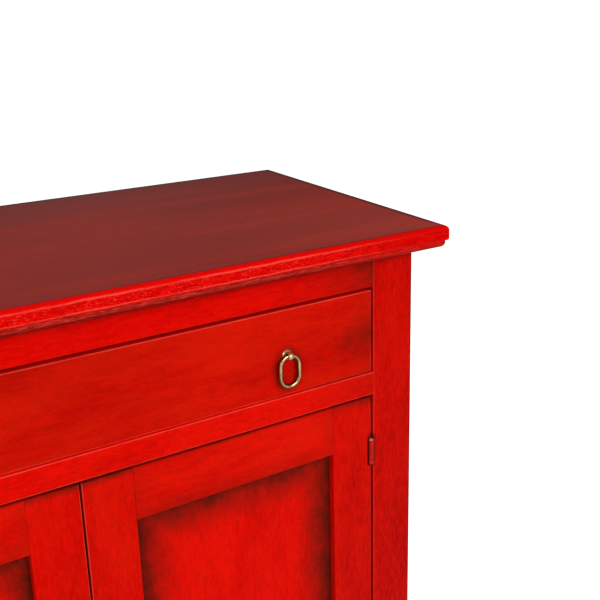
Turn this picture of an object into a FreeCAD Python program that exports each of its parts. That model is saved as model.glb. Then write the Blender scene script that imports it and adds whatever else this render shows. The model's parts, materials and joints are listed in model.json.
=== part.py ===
import FreeCAD
import Part
import Sketcher
import os
import re

# Red lacquered sideboard: one wide drawer with two ring pulls over a pair of framed doors.
# Millimetres, +Z up, +X to the right and +Y to the back, origin on the floor under the middle of the top.

SIZES = {
    # The whole piece
    "top_width": 930,
    "top_depth": 420,
    "overall_height": 850,
    # The moulded top
    "board_thickness": 19,
    "moulding_height": 9,
    "moulding_inset": 3.3,
    "top_round": 6,
    "lower_round": 3,
    "ovolo_radius": 7,
    "overhang": 32,
    "back_overhang": 8,
    # The post and rail frame
    "post_width": 58,
    "post_depth": 45,
    "leg_height": 100,
    "rail_thickness": 24,
    "apron_height": 41,
    "middle_rail_height": 29.5,
    "bottom_rail_height": 45,
    "back_rail_height": 45,
    "side_rail_height": 60,
    "side_rail_thickness": 22,
    "side_setback": 4,
    "tenon_thickness": 8,
    "tenon_length": 22,
    "tenon_shoulder": 5,
    "arris": 1,
    # Panels and the clearances of every joint
    "panel_thickness": 8,
    "panel_entry": 7,
    "edge_room": 1,
    "cheek_room": 0.1,
    # The floor, the shelf and what carries the drawer
    "floor_thickness": 15,
    "floor_drop": 12,
    "shelf_level": 385,
    "shelf_thickness": 16,
    "shelf_setback": 20,
    "cleat_width": 18,
    "cleat_lap": 15,
    "runner_width": 24,
    "runner_height": 20,
    "kicker_width": 16,
    "strip_lap": 14,
    "stop_length": 20,
    "stop_height": 15,
    "stop_room": 0.5,
    "stop_inset": 1.5,
    # The drawer
    "drawer_height": 104.5,
    "drawer_recess": 3,
    "drawer_gap_above": 5,
    "drawer_gap_beside": 1.5,
    "drawer_gap_below": 1,
    "runner_room": 0.3,
    "drawer_front_thickness": 20,
    "drawer_front_lap": 8,
    "drawer_side_thickness": 12,
    "drawer_side_drop": 12,
    "drawer_back_drop": 8,
    "drawer_back_inset": 10,
    "drawer_back_housing": 4,
    "drawer_bottom_thickness": 6,
    "drawer_bottom_lift": 9,
    "drawer_groove": 5,
    # The doors
    "door_recess": 3,
    "door_thickness": 22,
    "door_gap_above": 4.5,
    "door_gap_below": 3,
    "meeting_gap": 2.5,
    "stile_width": 57,
    "door_top_rail": 63,
    "door_bottom_rail": 70,
    "door_panel_recess": 10,
    "door_tenon_length": 25,
    "door_stop_depth": 14,
    "door_stop_height": 16,
    "strike_width": 24,
    "strike_thickness": 1.2,
    "strike_room": 0.3,
    "magnet_radius": 4,
    "magnet_length": 8,
    # The butt hinges
    "hinge_gap": 2.2,
    "hinge_length": 34,
    "knuckles": 5,
    "hinge_from_end": 57.5,
    "leaf_thickness": 0.9,
    "leaf_width": 22,
    "pin_setback": 1.5,
    "pin_inset": 0.6,
    "knuckle_radius": 3,
    "knuckle_room": 0.2,
    "stile_gain_room": 1.8,
    "pin_radius": 1.4,
    "pin_room": 0.05,
    "pin_cap_radius": 2,
    "hinge_screw_radius": 1.3,
    "hinge_screw_head": 2.6,
    "hinge_screw_length": 12,
    "hinge_screw_spacing": 18,
    # The ring pulls
    "pull_from_end": 119.5,
    "pull_drop": 2.5,
    "door_pull_level": 430,
    "ring_radius": 12.6,
    "ring_straight": 12.6,
    "ring_wire": 2.6,
    "ring_stand": 4.9,
    "eye_stand": 6.2,
    "eye_radius": 4.6,
    "eye_cheek": 3.2,
    "eye_hole": 3.3,
    "eye_shank": 2,
    "eye_shank_length": 15,
    "rosette_radius": 6.2,
    "rosette_rim": 5,
    "rosette_thickness": 1.4,
    # The screws that hold the top down
    "top_screw_radius": 2.2,
    "top_screw_head": 4.2,
    "top_screw_head_height": 3,
    "top_screw_sink": 6,
    "top_screw_bite": 12,
    "top_screw_spacing": 170,
}

# Places worked out from the sizes, as formulas
PLACES = {
    "front": "overhang - top_depth / 2",
    "rear": "top_depth / 2 - back_overhang",
    "side": "top_width / 2 - overhang",
    "jamb": "side - post_width",
    "front_post_back": "front + post_depth",
    "rear_post_face": "rear - post_depth",
    "side_rail_face": "side - side_setback",
    "side_rail_back": "side_rail_face - side_rail_thickness",
    "frame_top": "overall_height - board_thickness - moulding_height",
    "apron_low": "frame_top - apron_height",
    "drawer_high": "apron_low - drawer_gap_above",
    "drawer_low": "drawer_high - drawer_height",
    "rail_high": "drawer_low - drawer_gap_below",
    "rail_low": "rail_high - middle_rail_height",
    "sill_high": "leg_height + bottom_rail_height",
    "floor_high": "sill_high - floor_drop",
    "drawer_face": "front + drawer_recess",
    "drawer_rear": "rear_post_face - stop_inset - stop_length - stop_room",
    "drawer_half": "jamb - drawer_gap_beside",
    "drawer_inside": "drawer_half - drawer_side_thickness",
    "drawer_side_low": "rail_high + runner_room",
    "drawer_side_high": "drawer_high - drawer_side_drop",
    "drawer_bottom_low": "drawer_side_low + drawer_bottom_lift",
    "drawer_bottom_high": "drawer_bottom_low + drawer_bottom_thickness",
    "drawer_back_rear": "drawer_rear - drawer_back_inset",
    "door_face": "front + door_recess",
    "door_back": "door_face + door_thickness",
    "door_low": "sill_high + door_gap_below",
    "door_high": "rail_low - door_gap_above",
    "door_edge": "jamb - hinge_gap",
    "door_meeting": "meeting_gap / 2",
    "door_panel_face": "door_face + door_panel_recess",
    "door_panel_middle": "door_panel_face + panel_thickness / 2",
    "door_stop_face": "door_back + strike_thickness + strike_room",
    "pin_across": "door_edge - pin_inset",
    "pin_depth": "front + pin_setback",
    "leaf_start": "pin_depth + knuckle_radius + knuckle_room",
    "leaf_end": "pin_depth + leaf_width",
    "knuckle_pitch": "hinge_length / knuckles",
    "hinge_screw_depth": "(leaf_start + leaf_end) / 2",
    "drawer_pull_across": "drawer_half - pull_from_end",
    "drawer_pull_level": "(drawer_low + drawer_high) / 2 - pull_drop",
    "door_pull_across": "door_meeting + stile_width / 2",
    "kicker_middle": "jamb + (strip_lap - kicker_width) / 2",
}

doc = FreeCAD.newDocument("Sideboard")
sheet = doc.addObject("Spreadsheet::Sheet", "Sizes")
for row, (alias, size) in enumerate(SIZES.items(), start=1):
    sheet.set(f"A{row}", alias)
    sheet.set(f"B{row}", str(size))
    sheet.setAlias(f"B{row}", alias)
doc.recompute()

pieces = {}
# Edges this close count as being on the same line
SAME = 1e-6


# Formulas, blocks and joints

def formula(text):
    """Write a formula of sizes and places as one of sheet cells."""
    def cell(word):
        name = word.group()
        if name in PLACES:
            return "(" + formula(PLACES[name]) + ")"
        return "Sizes." + name if name in SIZES else name
    return re.sub(r"[a-z_]+", cell, text)


def bind(thing, **formulas):
    """Bind an object's properties to the sheet."""
    for name, text in formulas.items():
        thing.setExpression(name, formula(text))
    return thing


def put(thing, x, y, z):
    """Bind an object's place to the sheet."""
    for axis, text in zip("xyz", (x, y, z)):
        thing.setExpression(f"Placement.Base.{axis}", formula(text))
    return thing


def minus(text):
    return f"-({text})"


def mirrored(span):
    low, high = span
    return minus(high), minus(low)


def grown(span, room):
    low, high = span
    return f"{low} - ({room})", f"{high} + {room}"


def centred(middle, width):
    return f"{middle} - {width} / 2", f"{middle} + {width} / 2"


def on_side(sign, span):
    """A span of the right half, or its mirror on the left half."""
    return span if sign > 0 else mirrored(span)


def at_side(sign, place):
    return place if sign > 0 else minus(place)


def block(name, x, y, z):
    """A rectangular block between two places along each axis."""
    solid = doc.addObject("Part::Box", name)
    for size, (low, high) in zip(("Length", "Width", "Height"), (x, y, z)):
        solid.setExpression(size, formula(f"{high} - ({low})"))
    return put(solid, x[0], y[0], z[0])


TURNS = {
    "+x": FreeCAD.Rotation(FreeCAD.Vector(0, 1, 0), 90),
    "-x": FreeCAD.Rotation(FreeCAD.Vector(0, 1, 0), -90),
    "+y": FreeCAD.Rotation(FreeCAD.Vector(1, 0, 0), -90),
    "-y": FreeCAD.Rotation(FreeCAD.Vector(1, 0, 0), 90),
    "+z": FreeCAD.Rotation(),
}


def rod(name, radius, length, start, way):
    """A round rod from a start point along an axis."""
    solid = doc.addObject("Part::Cylinder", name)
    solid.Placement.Rotation = TURNS[way]
    bind(solid, Radius=radius, Height=length)
    return put(solid, *start)


def taper(name, first_radius, last_radius, length, start, way):
    """A cone frustum from a start point along an axis."""
    solid = doc.addObject("Part::Cone", name)
    solid.Placement.Rotation = TURNS[way]
    bind(solid, Radius1=first_radius, Radius2=last_radius, Height=length)
    return put(solid, *start)


def join(name, solids):
    result = doc.addObject("Part::MultiFuse", name)
    result.Shapes = solids
    return result


def cut(name, base, cutters):
    result = doc.addObject("Part::Cut", name)
    result.Base = base
    result.Tool = cutters[0] if len(cutters) == 1 else join(f"{name}_cutters", cutters)
    return result


def group(name, solids):
    result = doc.addObject("Part::Compound", name)
    result.Links = solids
    return result


def eased(name, base, along):
    """Round the outer arrises of a piece that run along the given axes."""
    doc.recompute()
    box = base.Shape.BoundBox
    limits = {"x": (box.XMin, box.XMax), "y": (box.YMin, box.YMax), "z": (box.ZMin, box.ZMax)}
    chosen = []
    for number, edge in enumerate(base.Shape.Edges, start=1):
        first, last = edge.firstVertex().Point, edge.lastVertex().Point
        run = [axis for axis in "xyz" if abs(getattr(first, axis) - getattr(last, axis)) > SAME]
        if len(run) != 1 or run[0] not in along:
            continue
        outer = [min(abs(getattr(first, axis) - limit) for limit in limits[axis]) < SAME
                 for axis in "xyz" if axis != run[0]]
        if all(outer):
            chosen.append((number, sheet.arris, sheet.arris))
    result = doc.addObject("Part::Fillet", name)
    result.Base = base
    result.Edges = chosen
    return result


def piece(node, solid):
    """Keep a finished piece under its own name."""
    solid.Label = node
    pieces[node] = solid
    return solid


# Each piece that seats in another is cut out of it as a slightly grown copy

def tenoned_rail(node, axis, x, y, z, thickness, length, tenon_middle):
    """A rail with a tenon at both ends, and the cutter for its mortises."""
    spans = {"x": x, "y": y, "z": z}
    flat = "y" if axis == "x" else "x"
    upright = "z"
    blank = block(f"{node}_blank", x, y, z)
    tenon = dict(spans)
    tenon[axis] = grown(spans[axis], length)
    tenon[flat] = centred(tenon_middle, thickness)
    tenon[upright] = grown(spans[upright], "-1 * tenon_shoulder")
    tongue = block(f"{node}_tenon", tenon["x"], tenon["y"], tenon["z"])
    mortise = dict(tenon)
    mortise[axis] = grown(tenon[axis], "edge_room")
    mortise[flat] = grown(tenon[flat], "cheek_room")
    mortise[upright] = grown(tenon[upright], "cheek_room")
    cutter = block(f"{node}_mortise", mortise["x"], mortise["y"], mortise["z"])
    return join(f"{node}_tenoned", [blank, tongue]), cutter


def panel_and_groove(node, flat, x, y, z):
    """A flat panel, and the cutter for the grooves that hold its edges."""
    spans = {"x": x, "y": y, "z": z}
    groove = {axis: grown(span, "cheek_room" if axis == flat else "edge_room")
              for axis, span in spans.items()}
    panel = block(f"{node}_board", x, y, z)
    return panel, block(f"{node}_groove", groove["x"], groove["y"], groove["z"])


# The frame's rails

ACROSS = ("-1 * jamb", "jamb")
FRONT_RAIL = ("front", "front + rail_thickness")
BACK_RAIL = ("rear - rail_thickness", "rear")
BETWEEN_POSTS = ("front_post_back", "rear_post_face")
SIDE_RAIL = ("side_rail_back", "side_rail_face")
SIDE_MIDDLE = "(side_rail_back + side_rail_face) / 2"
BACK_MIDDLE = "rear - rail_thickness / 2"
SILL = ("leg_height", "sill_high")


def frame_rail(node, axis, x, y, z, middle):
    return tenoned_rail(node, axis, x, y, z, "tenon_thickness", "tenon_length", middle)


apron, apron_mortise = frame_rail("front_apron", "x", ACROSS, FRONT_RAIL, ("apron_low", "frame_top"),
                                  "front + rail_thickness / 2")
middle_rail, middle_mortise = frame_rail("middle_rail", "x", ACROSS, ("front", "front_post_back"),
                                         ("rail_low", "rail_high"), "front + post_depth / 2")
bottom_rail, bottom_mortise = frame_rail("bottom_rail", "x", ACROSS, FRONT_RAIL, SILL,
                                         "front + rail_thickness / 2")
back_top, back_top_mortise = frame_rail("back_top_rail", "x", ACROSS, BACK_RAIL,
                                        ("frame_top - back_rail_height", "frame_top"), BACK_MIDDLE)
back_bottom, back_bottom_mortise = frame_rail("back_bottom_rail", "x", ACROSS, BACK_RAIL, SILL, BACK_MIDDLE)

back_panel, back_groove = panel_and_groove(
    "back_panel", "y", grown(ACROSS, "panel_entry"), centred(BACK_MIDDLE, "panel_thickness"),
    ("sill_high - panel_entry", "frame_top - back_rail_height + panel_entry"))

floor, floor_groove = panel_and_groove(
    "floor_board", "z", grown(("-1 * side_rail_back", "side_rail_back"), "panel_entry"),
    ("front + rail_thickness - panel_entry", "rear - rail_thickness + panel_entry"),
    ("floor_high - floor_thickness", "floor_high"))

piece("front_apron", eased("front_apron", apron, "x"))
piece("middle_rail", eased("middle_rail", middle_rail, "x"))
piece("bottom_rail", eased("bottom_rail", cut("bottom_rail_grooved", bottom_rail, [floor_groove]), "x"))
piece("back_top_rail", eased("back_top_rail", cut("back_top_rail_grooved", back_top, [back_groove]), "x"))
piece("back_bottom_rail", eased(
    "back_bottom_rail", cut("back_bottom_rail_grooved", back_bottom, [back_groove, floor_groove]), "x"))
piece("back_panel", back_panel)

# The hinges' places, shared by the posts, the doors and the leaves
HINGES = {
    "upper": "door_high - hinge_from_end - hinge_length",
    "lower": "door_low + hinge_from_end",
}
SIDES = {"left": -1, "right": 1}


def knuckle_gains(name, sign, room):
    """The cutters for the hollows that the hinge barrels of one door lie in."""
    past_end = "(pin_cap_radius + knuckle_room)"
    return [rod(f"{name}_{end}_gain", f"knuckle_radius + {room}", f"hinge_length + 2 * {past_end}",
                (at_side(sign, "pin_across"), "pin_depth", f"{low} - {past_end}"), "+z")
            for end, low in HINGES.items()]


def hinge_screw_levels():
    """The height of each hinge screw of one door."""
    for low in HINGES.values():
        for step in ("-1", "1"):
            yield f"{low} + hinge_length / 2 + {step} * hinge_screw_spacing / 2"


def hinge_screw(name, sign, face, way, level, room):
    """A countersunk screw through a leaf; with room added it is the cutter for its hole."""
    outward = {1: {"in": "-x", "out": "+x"}, -1: {"in": "+x", "out": "-x"}}[sign][way]
    start = (at_side(sign, face), "hinge_screw_depth", level)
    head = taper(f"{name}_head", f"hinge_screw_head + {room}", f"hinge_screw_radius + {room}",
                 "leaf_thickness", start, outward)
    shank = rod(f"{name}_shank", f"hinge_screw_radius + {room}", f"hinge_screw_length + {room}",
                start, outward)
    return join(name, [head, shank])


def hinge_screws(node, sign, face, way):
    """The screws of one row of leaves, and the cutters for their holes."""
    screws, cutters = [], []
    for number, level in enumerate(hinge_screw_levels(), start=1):
        screws.append(hinge_screw(f"{node}_{number}", sign, face, way, level, "0"))
        cutters.append(hinge_screw(f"{node}_{number}_hole", sign, face, way, level, "cheek_room"))
    return screws, cutters


post_screws = {name: hinge_screws(f"{name}_post_screw", sign, "jamb - leaf_thickness", "out")
               for name, sign in SIDES.items()}
door_screws = {name: hinge_screws(f"{name}_door_screw", sign, "door_edge + leaf_thickness", "in")
               for name, sign in SIDES.items()}
post_gains = {name: knuckle_gains(f"{name}_post", sign, "knuckle_room") for name, sign in SIDES.items()}
stile_gains = {name: knuckle_gains(f"{name}_stile", sign, "stile_gain_room") for name, sign in SIDES.items()}

# The framed sides and the four posts
POST_ENDS = {
    "front": (("front", "front_post_back"), [apron_mortise, middle_mortise, bottom_mortise]),
    "rear": (("rear_post_face", "rear"), [back_top_mortise, back_bottom_mortise, back_groove]),
}
post_sections = []
for name, sign in SIDES.items():
    rail_span = on_side(sign, SIDE_RAIL)
    rail_middle = at_side(sign, SIDE_MIDDLE)
    top_rail, top_mortise = frame_rail(f"{name}_side_top_rail", "y", rail_span, BETWEEN_POSTS,
                                       ("frame_top - side_rail_height", "frame_top"), rail_middle)
    low_rail, low_mortise = frame_rail(f"{name}_side_bottom_rail", "y", rail_span, BETWEEN_POSTS,
                                       ("leg_height", "leg_height + side_rail_height"), rail_middle)
    panel, groove = panel_and_groove(
        f"{name}_side_panel", "x", centred(rail_middle, "panel_thickness"),
        grown(BETWEEN_POSTS, "panel_entry"),
        ("leg_height + side_rail_height - panel_entry", "frame_top - side_rail_height + panel_entry"))
    piece(f"{name}_side_top_rail", eased(
        f"{name}_side_top_rail", cut(f"{name}_side_top_rail_grooved", top_rail, [groove]), "y"))
    piece(f"{name}_side_bottom_rail", eased(
        f"{name}_side_bottom_rail",
        cut(f"{name}_side_bottom_rail_grooved", low_rail, [groove, floor_groove]), "y"))
    piece(f"{name}_side_panel", panel)
    for end, (depth, mortises) in POST_ENDS.items():
        node = f"{end}_{name}_post"
        across = on_side(sign, ("jamb", "side"))
        cutters = mortises + [top_mortise, low_mortise, groove]
        if end == "front":
            cutters = cutters + post_screws[name][1] + post_gains[name]
        blank = eased(f"{node}_blank", block(f"{node}_timber", across, depth, ("0", "frame_top")), "xyz")
        piece(node, cut(node, blank, cutters))
        post_sections.append(block(f"{node}_notch", grown(across, "edge_room"), grown(depth, "edge_room"),
                                   ("leg_height", "sill_high")))

piece("floor_board", cut("floor_board", floor, post_sections))

# The moulded top: a board with a rounded edge over a narrower ovolo, plain at the back

def origin_plane(body, role):
    return next(plane for plane in body.Origin.OriginFeatures if plane.Role == role)


def top_sketch(body, name, inset, level):
    """A rectangle set in from the front and the ends, and flush with the back."""
    sketch = body.newObject("Sketcher::SketchObject", name)
    sketch.AttachmentSupport = (origin_plane(body, "XY_Plane"), [""])
    sketch.MapMode = "FlatFace"
    bind(sketch, **{"AttachmentOffset.Base.z": level})
    corners = [FreeCAD.Vector(x, y, 0) for x, y in ((10, 10), (90, 10), (90, 40), (10, 40))]
    for number in range(4):
        sketch.addGeometry(Part.LineSegment(corners[number], corners[(number + 1) % 4]))
    for number in range(4):
        sketch.addConstraint(Sketcher.Constraint("Coincident", number, 2, (number + 1) % 4, 1))
        sketch.addConstraint(Sketcher.Constraint("Vertical" if number % 2 else "Horizontal", number))
    settings = {
        "from_end": (Sketcher.Constraint("DistanceX", -1, 1, 0, 1, 10), f"overhang + {inset}"),
        "from_front": (Sketcher.Constraint("DistanceY", -1, 1, 0, 1, 10), f"overhang + {inset}"),
        "width": (Sketcher.Constraint("DistanceX", 0, 1, 0, 2, 80), f"top_width - 2 * ({inset})"),
        "depth": (Sketcher.Constraint("DistanceY", 1, 1, 1, 2, 30), f"top_depth - ({inset})"),
    }
    for label, (constraint, text) in settings.items():
        sketch.renameConstraint(sketch.addConstraint(constraint), label)
        bind(sketch, **{f"Constraints.{label}": text})
    return sketch


def front_and_end_edges(shape, level):
    """The outer edges of a board's front and ends at one height, without its back edge."""
    box = shape.BoundBox
    names = []
    for number, edge in enumerate(shape.Edges, start=1):
        middle = edge.CenterOfMass
        level_edge = edge.BoundBox.ZLength < SAME and abs(middle.z - level) < SAME
        off_outline = min(middle.x - box.XMin, box.XMax - middle.x, middle.y - box.YMin)
        if level_edge and off_outline < SAME:
            names.append(f"Edge{number}")
    return names


def rounded(body, name, base, level, radius):
    doc.recompute()
    fillet = body.newObject("PartDesign::Fillet", name)
    fillet.Base = (base, front_and_end_edges(base.Shape, level))
    return bind(fillet, Radius=radius)


top = doc.addObject("PartDesign::Body", "moulded_top")
ovolo_sketch = top_sketch(top, "OvoloOutline", "moulding_inset", "0")
ovolo_pad = bind(top.newObject("PartDesign::Pad", "OvoloPad"), Length="moulding_height")
ovolo_pad.Profile = ovolo_sketch
ovolo = rounded(top, "Ovolo", ovolo_pad, 0, "ovolo_radius")
board_sketch = top_sketch(top, "BoardOutline", "0", "moulding_height")
board_pad = bind(top.newObject("PartDesign::Pad", "BoardPad"), Length="board_thickness")
board_pad.Profile = board_sketch
lower = rounded(top, "LowerRound", board_pad, sheet.moulding_height, "lower_round")
rounded(top, "TopRound", lower, sheet.moulding_height + sheet.board_thickness, "top_round")
put(top, "-1 * top_width / 2 - overhang", "-1 * top_depth / 2 - overhang", "frame_top")

# What carries the drawer and holds the top down
top_screws, top_holes = [], []
for name, sign in SIDES.items():
    runner = block(f"{name}_runner", on_side(sign, ("jamb - runner_width", "jamb + strip_lap")),
                   BETWEEN_POSTS, ("rail_high - runner_height", "rail_high"))
    piece(f"{name}_drawer_runner", runner)
    kicker = block(f"{name}_kicker_blank", on_side(sign, ("jamb - kicker_width", "jamb + strip_lap")),
                   BETWEEN_POSTS, ("apron_low", "frame_top"))
    kicker_holes = []
    for number, step in enumerate(("-1", "1"), start=1):
        across = at_side(sign, "kicker_middle")
        depth = f"(front_post_back + rear_post_face) / 2 + {step} * top_screw_spacing / 2"
        reach = "apron_height - top_screw_sink + top_screw_bite"
        seat = (across, depth, "apron_low + top_screw_sink")
        screw = f"{name}_top_screw_{number}"
        head = rod(f"{screw}_head", "top_screw_head", "top_screw_head_height", seat, "+z")
        shank = rod(f"{screw}_shank", "top_screw_radius", reach, seat, "+z")
        top_screws.append(join(screw, [head, shank]))
        hole = rod(f"{screw}_hole", "top_screw_radius + cheek_room", f"{reach} + edge_room", seat, "+z")
        sink = rod(f"{screw}_sink", "top_screw_head + edge_room", "top_screw_sink + top_screw_head_height",
                   (across, depth, "apron_low"), "+z")
        kicker_holes += [hole, sink]
        top_holes.append(hole)
    piece(f"{name}_drawer_kicker", cut(f"{name}_drawer_kicker", kicker, kicker_holes))

piece("top_board", cut("drilled_top", top, top_holes))
piece("top_screws", group("top_screws", top_screws))

piece("drawer_stops", group("drawer_stops", [
    block(f"{name}_drawer_stop", on_side(sign, ("drawer_inside", "drawer_half")),
          ("drawer_rear + stop_room", "drawer_rear + stop_room + stop_length"),
          ("rail_high", "rail_high + stop_height"))
    for name, sign in SIDES.items()]))

# The shelf on its cleats
piece("shelf_cleats", group("shelf_cleats", [
    block(f"{name}_shelf_cleat", on_side(sign, ("jamb - cleat_width", "jamb")),
          grown(BETWEEN_POSTS, "cleat_lap"), ("shelf_level - cleat_width", "shelf_level"))
    for name, sign in SIDES.items()]))
piece("shelf", eased(
    "shelf", block("shelf_blank", grown(ACROSS, "-1 * edge_room"),
                   ("door_back + shelf_setback", "rear - rail_thickness - edge_room"),
                   ("shelf_level", "shelf_level + shelf_thickness")), "x"))

# The drawer

def pull_eye(name, across, face, level):
    """A screw-in eye with a rosette, flat cheeks and a round nose, and the cutter for its shank."""
    seat = (across, face, level)
    nose = doc.addObject("Part::Sphere", f"{name}_nose")
    put(bind(nose, Radius="eye_radius"), across, f"{face} - eye_stand", level)
    neck = rod(f"{name}_neck", "eye_radius", "eye_stand", seat, "-y")
    flats = [block(f"{name}_{hand}_flat",
                   centred(f"{across} + {sign} * (eye_cheek + eye_radius / 2)", "eye_radius"),
                   (f"{face} - eye_stand - eye_radius", f"{face} - rosette_thickness"),
                   centred(level, "2 * eye_radius")) for hand, sign in SIDES.items()]
    pierced = rod(f"{name}_hole", "eye_hole", "2 * eye_radius",
                  (f"{across} - eye_radius", f"{face} - ring_stand", level), "+x")
    head = cut(f"{name}_head", join(f"{name}_blank", [nose, neck]), flats + [pierced])
    rosette = taper(f"{name}_rosette", "rosette_radius", "rosette_rim", "rosette_thickness", seat, "-y")
    shank = rod(f"{name}_shank", "eye_shank", "eye_shank_length", seat, "+y")
    eye = join(f"{name}_eye", [head, rosette, shank])
    pilot = rod(f"{name}_pilot", "eye_shank + cheek_room", "eye_shank_length + edge_room", seat, "+y")
    return eye, pilot


def pull_ring(name, across, face, level):
    """A long oval ring of round wire, hanging through its eye."""
    depth = f"{face} - ring_stand"
    bends = []
    for end, way, drop in (("upper", "-y", "ring_radius"), ("lower", "+y", "ring_radius + ring_straight")):
        bend = doc.addObject("Part::Torus", f"{name}_{end}_bend")
        bend.Placement.Rotation = TURNS[way]
        bend.Angle3 = 180
        bind(bend, Radius1="ring_radius", Radius2="ring_wire")
        bends.append(put(bend, across, depth, f"{level} - ({drop})"))
    low = f"{level} - ring_radius - ring_straight"
    legs = [rod(f"{name}_{hand}_leg", "ring_wire", "ring_straight",
                (f"{across} + {sign} * ring_radius", depth, low), "+z") for hand, sign in SIDES.items()]
    return join(f"{name}_ring", bends + legs)


DRAWER_INSIDE = ("-1 * drawer_inside", "drawer_inside")
DRAWER_BACK = ("drawer_back_rear - drawer_side_thickness", "drawer_back_rear")
drawer_bottom, drawer_groove = panel_and_groove(
    "drawer_bottom", "z", grown(DRAWER_INSIDE, "drawer_groove"),
    ("drawer_face + drawer_front_thickness - drawer_groove", "drawer_back_rear"),
    ("drawer_bottom_low", "drawer_bottom_high"))
drawer_back = block("drawer_back", grown(DRAWER_INSIDE, "drawer_back_housing"), DRAWER_BACK,
                    ("drawer_bottom_high", "drawer_side_high - drawer_back_drop"))
back_housing = block("drawer_back_housing", grown(DRAWER_INSIDE, "drawer_back_housing + cheek_room"),
                     grown(DRAWER_BACK, "cheek_room"), ("drawer_bottom_high", "drawer_high"))
front_cutters = [drawer_groove]
for name, sign in SIDES.items():
    across = on_side(sign, ("drawer_inside", "drawer_half"))
    depth = ("drawer_face + drawer_front_lap", "drawer_rear")
    height = ("drawer_side_low", "drawer_side_high")
    side_board = block(f"drawer_{name}_board", across, depth, height)
    piece(f"drawer_{name}_side", cut(f"drawer_{name}_side", side_board, [drawer_groove, back_housing]))
    front_cutters.append(block(f"drawer_{name}_rebate", grown(across, "cheek_room"),
                               grown(depth, "cheek_room"), grown(height, "cheek_room")))
    place = (at_side(sign, "drawer_pull_across"), "drawer_face", "drawer_pull_level")
    eye, pilot = pull_eye(f"drawer_{name}", *place)
    front_cutters.append(pilot)
    piece(f"drawer_{name}_pull_eye", eye)
    piece(f"drawer_{name}_ring", pull_ring(f"drawer_{name}", *place))
front_board = eased(
    "drawer_front_board",
    block("drawer_front_blank", ("-1 * drawer_half", "drawer_half"),
          ("drawer_face", "drawer_face + drawer_front_thickness"), ("drawer_low", "drawer_high")), "xz")
piece("drawer_front", cut("drawer_front", front_board, front_cutters))
piece("drawer_back", drawer_back)
piece("drawer_bottom", drawer_bottom)

# The doors
magnets = []
magnet_holes = []
for name, sign in SIDES.items():
    hinge_span = on_side(sign, ("door_edge - stile_width", "door_edge"))
    meeting_span = on_side(sign, ("door_meeting", "door_meeting + stile_width"))
    between = on_side(sign, ("door_meeting + stile_width", "door_edge - stile_width"))
    depth = ("door_face", "door_back")
    height = ("door_low", "door_high")
    rails = {
        "top": ("door_high - door_top_rail", "door_high"),
        "bottom": ("door_low", "door_low + door_bottom_rail"),
    }
    panel, groove = panel_and_groove(
        f"{name}_door_panel", "y", grown(between, "panel_entry"),
        ("door_panel_face", "door_panel_face + panel_thickness"),
        ("door_low + door_bottom_rail - panel_entry", "door_high - door_top_rail + panel_entry"))
    mortises = [groove]
    for end, span in rails.items():
        rail, mortise = tenoned_rail(f"{name}_door_{end}_rail", "x", between, depth, span,
                                     "panel_thickness", "door_tenon_length", "door_panel_middle")
        mortises.append(mortise)
        piece(f"{name}_door_{end}_rail", eased(
            f"{name}_door_{end}_rail", cut(f"{name}_door_{end}_rail_grooved", rail, [groove]), "x"))
    place = (at_side(sign, "door_pull_across"), "door_face", "door_pull_level")
    eye, pilot = pull_eye(f"{name}_door", *place)
    stiles = {
        "hinge": (hinge_span, mortises + door_screws[name][1] + stile_gains[name]),
        "meeting": (meeting_span, mortises + [pilot]),
    }
    for stile, (across, cutters) in stiles.items():
        node = f"{name}_door_{stile}_stile"
        blank = eased(f"{node}_blank", block(f"{node}_board", across, depth, height), "xz")
        piece(node, cut(node, blank, cutters))
    piece(f"{name}_door_panel", panel)
    piece(f"{name}_door_pull_eye", eye)
    piece(f"{name}_door_ring", pull_ring(f"{name}_door", *place))
    strike = on_side(sign, centred("door_pull_across", "strike_width"))
    catch_level = "rail_low - door_stop_height / 2 - door_gap_above / 2"
    piece(f"{name}_door_strike", block(
        f"{name}_door_strike", strike, ("door_back", "door_back + strike_thickness"),
        ("rail_low - door_stop_height", "door_high - edge_room")))
    seat = (place[0], "door_stop_face", catch_level)
    magnets.append(rod(f"{name}_magnet", "magnet_radius", "magnet_length", seat, "+y"))
    magnet_holes.append(rod(f"{name}_magnet_hole", "magnet_radius + cheek_room", "magnet_length", seat, "+y"))

door_stop = block("door_stop_blank", grown(ACROSS, "-1 * edge_room"),
                  ("door_stop_face", "door_stop_face + door_stop_depth"),
                  ("rail_low - door_stop_height", "rail_low"))
piece("door_stop", cut("door_stop", door_stop, magnet_holes))
piece("catch_magnets", group("catch_magnets", magnets))


# The butt hinges: five knuckles on one pin, three on the post's leaf and two on the door's

def hinge_leaf(name, sign, plate, low, knuckles, screw_cutters):
    """A leaf with the knuckles that it owns, bored for the pin and drilled for its screws."""
    axis = (at_side(sign, "pin_across"), "pin_depth")
    height = (low, f"{low} + hinge_length")
    solids = [block(f"{name}_plate", on_side(sign, plate), ("leaf_start", "leaf_end"), height)]
    for number in knuckles:
        base = f"{low} + {number} * knuckle_pitch + knuckle_room / 2"
        tall = "knuckle_pitch - knuckle_room"
        solids.append(rod(f"{name}_knuckle_{number}", "knuckle_radius", tall, (*axis, base), "+z"))
        solids.append(block(f"{name}_web_{number}", on_side(sign, plate), ("pin_depth", "leaf_start"),
                            (base, f"{base} + {tall}")))
    bore = rod(f"{name}_bore", "pin_radius + pin_room", "hinge_length", (*axis, low), "+z")
    return cut(f"{name}_leaf", join(f"{name}_solid", solids), [bore] + screw_cutters)


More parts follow.
